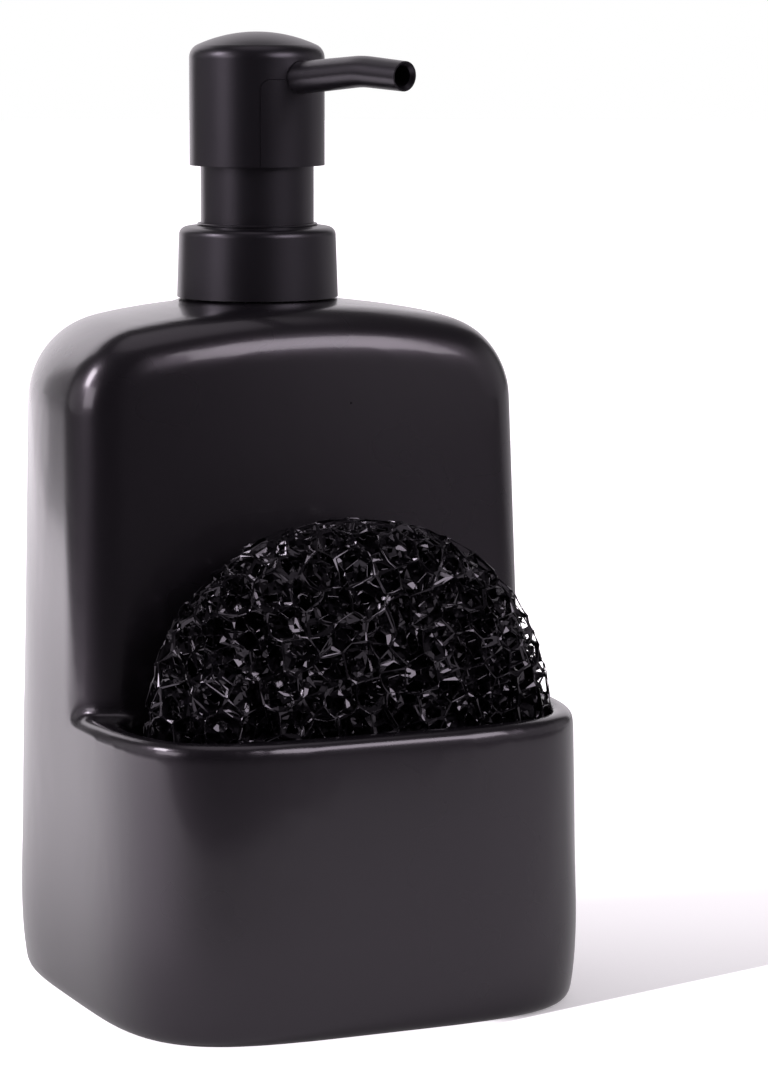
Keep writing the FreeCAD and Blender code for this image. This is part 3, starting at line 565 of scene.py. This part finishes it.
def gathered(parts):
    """Several meshes, each as vertices and faces, as one."""
    vertices, faces = [], []
    offset = 0
    for part_vertices, part_faces in parts:
        vertices.append(part_vertices)
        faces += [[corner + offset for corner in face] for face in part_faces]
        offset += len(part_vertices)
    return np.concatenate(vertices), faces


def film_mesh(points, walls, rng, share, rim, widest, half):
    """Film left round the openings of some cell walls: a flat rim along the threads, wider in places."""
    plates = []
    for wall in walls:
        if rng.random() > share:
            continue
        outline = points[wall]
        middle = outline.mean(axis=0)
        normal = np.cross(outline - middle, np.roll(outline, -1, axis=0) - middle).sum(axis=0)
        area = np.linalg.norm(normal)
        if area < SMALLEST_WALL:
            continue
        normal /= area
        reach = np.linalg.norm(outline - middle, axis=1, keepdims=True)
        width = rim * rng.lognormal(0, RIM_SPREAD, (len(wall), 1))
        inner = outline + (middle - outline) * np.clip(width / reach, RIM_NARROWEST, widest)
        plates.append(plate(outline, inner, normal, half))
    return gathered(plates)


def make_scrubber_net():
    rng = np.random.default_rng(RANDOM_SEED)
    points, pairs, skin_from, walls = net_lines(CELL, CELL_SHIFT, OUTER_JITTER, OUTER_DEPTHS, rng)
    on_skin = (pairs >= skin_from).all(axis=1)
    inner_net = net_lines(INNER_CELL, CELL_SHIFT, INNER_JITTER, INNER_DEPTHS, rng)
    inner_points, inner_pairs, inner_skin_from, inner_walls = inner_net
    inner_pairs = inner_pairs[~(inner_pairs >= inner_skin_from).all(axis=1)]
    vertices, faces = gathered((
        thread_mesh(points, pairs[~on_skin], WALL_THREAD, rng),
        thread_mesh(points, pairs[on_skin], SKIN_THREAD, rng),
        film_mesh(points, walls, rng, **OUTER_FILM),
        thread_mesh(inner_points, inner_pairs, INNER_THREAD, rng),
        film_mesh(inner_points, inner_walls, rng, **INNER_FILM),
    ))
    mesh = bpy.data.meshes.new("scrubber_net")
    mesh.from_pydata(((vertices + PAD_CENTRE) * MM).tolist(), [], faces)
    mesh.update()
    net = bpy.data.objects.new("scrubber_net", mesh)
    bpy.context.scene.collection.objects.link(net)
    net.data.materials.append(FINISHES["scrubber"])
    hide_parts("scrubber_pad")
    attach(net, "scrubber")


make_scrubber_net()

# Floor

# The camera looks along AHEAD, and BESIDE is to its right; a pair is where a ramp starts and ends on one
AHEAD = Vector((0.406, 0.914, 0.0))
BESIDE = Vector((0.914, -0.406, 0.0))

# The floor glows white for the camera, and for mirrors as the glaze's reflections in the photograph need
FLOOR_GLOW_COLOUR = (1, 0.94, 1, 1)
FLOOR_ROUGHNESS = 0.9
FLOOR_SHINE = 0.1

DARK_FLOOR_CORNERS = ((-6, -6), (6, 6))
DARK_FLOOR_LEVEL = -0.002
DARK_FLOOR_TONE = 0.12
DARK_FLOOR_WHITE = 1.07
# Painted light: a glowing patch on the dark floor far behind the caddy, seen only in mirrors
FAR_LIGHT_LEFT_SLOPE = 0.86
FAR_LIGHT_LEFT = (-0.09, -0.02)
FAR_LIGHT_NEAR = (0.4, 0.7)
FAR_LIGHT_RIGHT = (-0.3, 0.2)
FAR_LIGHT_GLOW = 1.7
FAR_LIGHT_RIGHT_SHARE = 0.3

SHEET_CORNERS = ((-0.62, -0.27), (0.55, 6))
SHEET_TONE = 0.85
SHEET_WHITE = 1.08
# Painted shadow on the sheet: where its glow for the camera is lowered, its straight front edge, and how
# deep the painted shade is from front to back
SHADOW_LEFT = (0.036, 0.049)
SHADOW_FAR = (0.16, 0.5)
SHADOW_FRONT_SLOPE = -0.827
SHADOW_FRONT = (-0.0712, -0.0697)
SHADOW_FADE = (-0.03, 0.09)
SHADOW_DARKEST, SHADOW_PALEST = -0.84, -0.55
# Painted light for mirrors: the sheet glows brighter on the left and towards its left end
LEFT_FLOOR = (-0.23, 0.0)
LEFT_FLOOR_GLOW, RIGHT_FLOOR_GLOW = 0.92, 0.05
EDGE_FLOOR = (-0.55, -0.3)
EDGE_FLOOR_GLOW = 1.0


def stage_plane(name, corners, level, material):
    """A floor piece between two corners, given along BESIDE and AHEAD."""
    low, high = corners
    bpy.ops.mesh.primitive_plane_add(size=1, location=(0, 0, 0))
    plane = bpy.context.object
    plane.name = name
    for vertex in plane.data.vertices:
        across = low[0] if vertex.co.x < 0 else high[0]
        forward = low[1] if vertex.co.y < 0 else high[1]
        vertex.co = BESIDE * across + AHEAD * forward + Vector((0, 0, level))
    plane.data.materials.append(material)
    plane.select_set(False)


def pale_material(name, tone):
    """A matt floor; returns it with its tree, its places along BESIDE and AHEAD, and what sets its glow."""
    material, tree, shader = new_material(name)
    set_sockets(shader, {
        "Base Color": (tone, tone, tone, 1),
        "Roughness": FLOOR_ROUGHNESS,
        "Specular IOR Level": FLOOR_SHINE,
        "Emission Color": FLOOR_GLOW_COLOUR,
    })
    place = tree.nodes.new("ShaderNodeTexCoord").outputs["Object"]
    path = tree.nodes.new("ShaderNodeLightPath")

    def glow(to_camera, to_mirrors):
        camera_part = joined(tree, "MULTIPLY", path.outputs["Is Camera Ray"], to_camera)
        mirror_part = joined(tree, "MULTIPLY", path.outputs["Is Glossy Ray"], to_mirrors)
        tree.links.new(joined(tree, "ADD", camera_part, mirror_part), shader.inputs["Emission Strength"])

    return material, tree, along(tree, place, BESIDE), along(tree, place, AHEAD), glow


def make_dark_floor():
    """A dark studio floor round the white sheet, with a painted patch of light far behind the caddy, a glow
    that only mirrors see, for its sides to mirror.
    """
    floor, tree, beside, ahead, glow = pale_material("dark_floor", DARK_FLOOR_TONE)
    # The patch of painted light, bright on the left and fading to the right
    from_left = joined(tree, "MULTIPLY_ADD", ahead, FAR_LIGHT_LEFT_SLOPE, beside)
    lit = ramp(tree, from_left, FAR_LIGHT_LEFT, 0, FAR_LIGHT_GLOW)
    lit = joined(tree, "MULTIPLY", lit, ramp(tree, ahead, FAR_LIGHT_NEAR, 0, 1))
    lit = joined(tree, "MULTIPLY", lit, ramp(tree, beside, FAR_LIGHT_RIGHT, 1, FAR_LIGHT_RIGHT_SHARE))
    glow(DARK_FLOOR_WHITE, lit)
    stage_plane("dark_floor", DARK_FLOOR_CORNERS, DARK_FLOOR_LEVEL, floor)


def make_white_sheet():
    """A white sheet under the caddy that runs back out of sight. Its glow for the camera gives way to a
    painted shadow on the right, laid over the lamps' real shadow, with a painted straight front edge and a
    painted tone that fades to the back."""
    sheet, tree, beside, ahead, glow = pale_material("white_sheet", SHEET_TONE)
    # The glow for the camera is lowered in a painted shadow, deepest near its straight front edge
    from_front = joined(tree, "MULTIPLY_ADD", beside, SHADOW_FRONT_SLOPE, ahead)
    shadow = ramp(tree, beside, SHADOW_LEFT, 0, 1)
    shadow = joined(tree, "MULTIPLY", shadow, ramp(tree, ahead, SHADOW_FAR, 1, 0))
    shadow = joined(tree, "MULTIPLY", shadow, ramp(tree, from_front, SHADOW_FRONT, 0, 1))
    painted_shadow_tone = ramp(tree, ahead, SHADOW_FADE, SHADOW_DARKEST, SHADOW_PALEST)
    to_camera = joined(tree, "MULTIPLY_ADD", shadow, painted_shadow_tone, SHEET_WHITE)
    # Painted light seen only in mirrors, brighter on the left
    from_left = ramp(tree, beside, LEFT_FLOOR, LEFT_FLOOR_GLOW, RIGHT_FLOOR_GLOW)
    from_edge = ramp(tree, beside, EDGE_FLOOR, EDGE_FLOOR_GLOW, 0)
    glow(to_camera, joined(tree, "ADD", from_left, from_edge))
    stage_plane("white_sheet", SHEET_CORNERS, 0.0, sheet)


# World: what the caddy mirrors above the floor

# A pair is where a ramp starts and ends along AHEAD, BESIDE or UP, as a share from -1 to 1
ROOM_COLOUR = (1.0, 0.95, 1.0, 1)
WHITE = (1, 1, 1, 1)
UP = (0, 0, 1)
BACKDROP_LEFT_EDGE, BACKDROP_RIGHT_EDGE = (-0.67, -0.61), (0.38, 0.54)
BACKDROP_FRONT, BACKDROP_TOP = (0.0, 0.3), (0.6, 0.74)
BACKDROP_SIDES = (-0.5, 0.0)
BACKDROP_LEFT_LIGHT, BACKDROP_LIGHT = 1.6, 1.0
LEFT_WALL, RIGHT_WALL, WALL_TOP = (-0.95, -0.78), (0.55, 0.9), (0.3, 0.6)
LEFT_WALL_LIGHT, RIGHT_WALL_LIGHT = 0.6, 0.4
ROOM_DEPTH = (-0.95, -0.4)
ROOM_BACK_LIGHT, ROOM_LIGHT = 0.05, 0.1
CEILING = (0.88, 0.97)
CEILING_LIGHT = 0.65


def make_world():
    """A wide white backdrop in a dark studio with a grey ceiling; the camera itself sees plain white."""
    world = bpy.data.worlds.new("studio")
    bpy.context.scene.world = world
    world.use_nodes = True
    tree = world.node_tree
    tree.nodes.clear()
    out = tree.nodes.new("ShaderNodeOutputWorld")
    shade = tree.nodes.new("ShaderNodeBackground")
    white = tree.nodes.new("ShaderNodeBackground")
    shade.inputs["Color"].default_value = ROOM_COLOUR
    white.inputs["Color"].default_value = WHITE
    white.inputs["Strength"].default_value = 1
    path = tree.nodes.new("ShaderNodeLightPath")
    mix = tree.nodes.new("ShaderNodeMixShader")
    tree.links.new(path.outputs["Is Camera Ray"], mix.inputs[0])
    tree.links.new(shade.outputs[0], mix.inputs[1])
    tree.links.new(white.outputs[0], mix.inputs[2])
    tree.links.new(mix.outputs[0], out.inputs["Surface"])
    place = tree.nodes.new("ShaderNodeTexCoord").outputs["Generated"]
    ahead, beside, up = along(tree, place, AHEAD), along(tree, place, BESIDE), along(tree, place, UP)
    left_edge = ramp(tree, beside, BACKDROP_LEFT_EDGE, 0, 1)
    right_edge = ramp(tree, beside, BACKDROP_RIGHT_EDGE, 1, 0)
    front_edge = ramp(tree, ahead, BACKDROP_FRONT, 0, 1)
    top_edge = ramp(tree, up, BACKDROP_TOP, 1, 0)
    across = joined(tree, "MULTIPLY", left_edge, right_edge)
    upward = joined(tree, "MULTIPLY", front_edge, top_edge)
    light = ramp(tree, beside, BACKDROP_SIDES, BACKDROP_LEFT_LIGHT, BACKDROP_LIGHT)
    backdrop = joined(tree, "MULTIPLY", joined(tree, "MULTIPLY", across, upward), light)
    left_wall = ramp(tree, beside, LEFT_WALL, LEFT_WALL_LIGHT, 0)
    right_wall = ramp(tree, beside, RIGHT_WALL, 0, RIGHT_WALL_LIGHT)
    sides = joined(tree, "ADD", left_wall, right_wall)
    walls = joined(tree, "MULTIPLY", sides, ramp(tree, up, WALL_TOP, 1, 0))
    room = ramp(tree, ahead, ROOM_DEPTH, ROOM_BACK_LIGHT, ROOM_LIGHT)
    room = joined(tree, "ADD", room, ramp(tree, up, CEILING, 0, CEILING_LIGHT))
    total = joined(tree, "ADD", joined(tree, "ADD", backdrop, walls), room)
    tree.links.new(total, shade.inputs["Strength"])


# Lamps

LAMP_TARGET = Vector((0, 0, 0.11))
LAMP_COLOUR = (1.0, 0.96, 1.0)


def add_softbox(name, bearing, rise, distance, wide, tall, watts):
    """A lamp that faces the caddy from a bearing, from +Y round to +X, and a rise above the floor."""
    bearing, rise = math.radians(bearing), math.radians(rise)
    way = Vector((math.sin(bearing) * math.cos(rise), math.cos(bearing) * math.cos(rise), math.sin(rise)))
    light = bpy.data.lights.new(name, "AREA")
    light.shape = "RECTANGLE"
    light.size = wide
    light.size_y = tall
    light.energy = watts
    light.color = LAMP_COLOUR
    lamp = bpy.data.objects.new(name, light)
    bpy.context.scene.collection.objects.link(lamp)
    lamp.location = LAMP_TARGET + way * distance
    lamp.rotation_euler = (-way).to_track_quat("-Z", "Y").to_euler()


# Camera: its place, its axes and its roll are fitted to the photograph

CAMERA_PLACE = (-0.31084, -0.74611, 0.20445)
CAMERA_FORWARD = Vector((0.40204, 0.90547, -0.13596))
CAMERA_RIGHT = Vector((0.91396, -0.40581, 0.0))
CAMERA_UP = Vector((0.05517, 0.12426, 0.99071))
CAMERA_ROLL_DEGREES = 0.1
CAMERA_LENS_MM = 131.0
CAMERA_SENSOR_MM = 36.0
CAMERA_NEAR, CAMERA_FAR = 0.05, 30


def make_camera():
    data = bpy.data.cameras.new("camera")
    data.lens = CAMERA_LENS_MM
    data.sensor_width = CAMERA_SENSOR_MM
    data.sensor_fit = "AUTO"
    data.clip_start = CAMERA_NEAR
    data.clip_end = CAMERA_FAR
    camera = bpy.data.objects.new("camera", data)
    bpy.context.scene.collection.objects.link(camera)
    roll = math.radians(CAMERA_ROLL_DEGREES)
    right = CAMERA_RIGHT * math.cos(roll) + CAMERA_UP * math.sin(roll)
    up = CAMERA_UP * math.cos(roll) - CAMERA_RIGHT * math.sin(roll)
    axes = zip(right, up, -CAMERA_FORWARD, CAMERA_PLACE)
    camera.matrix_world = Matrix((*axes, (0, 0, 0, 1)))
    bpy.context.scene.camera = camera


make_dark_floor()
make_white_sheet()
make_world()
add_softbox("front_window", bearing=154, rise=28, distance=1.3, wide=0.8, tall=0.55, watts=8.3)
add_softbox("left_softbox", bearing=-100, rise=15, distance=1.2, wide=0.5, tall=0.4, watts=2.6)
add_softbox("left_lamp", bearing=-84, rise=32, distance=1.2, wide=0.28, tall=0.36, watts=7.0)
make_camera()
bpy.context.scene.view_settings.view_transform = "Standard"
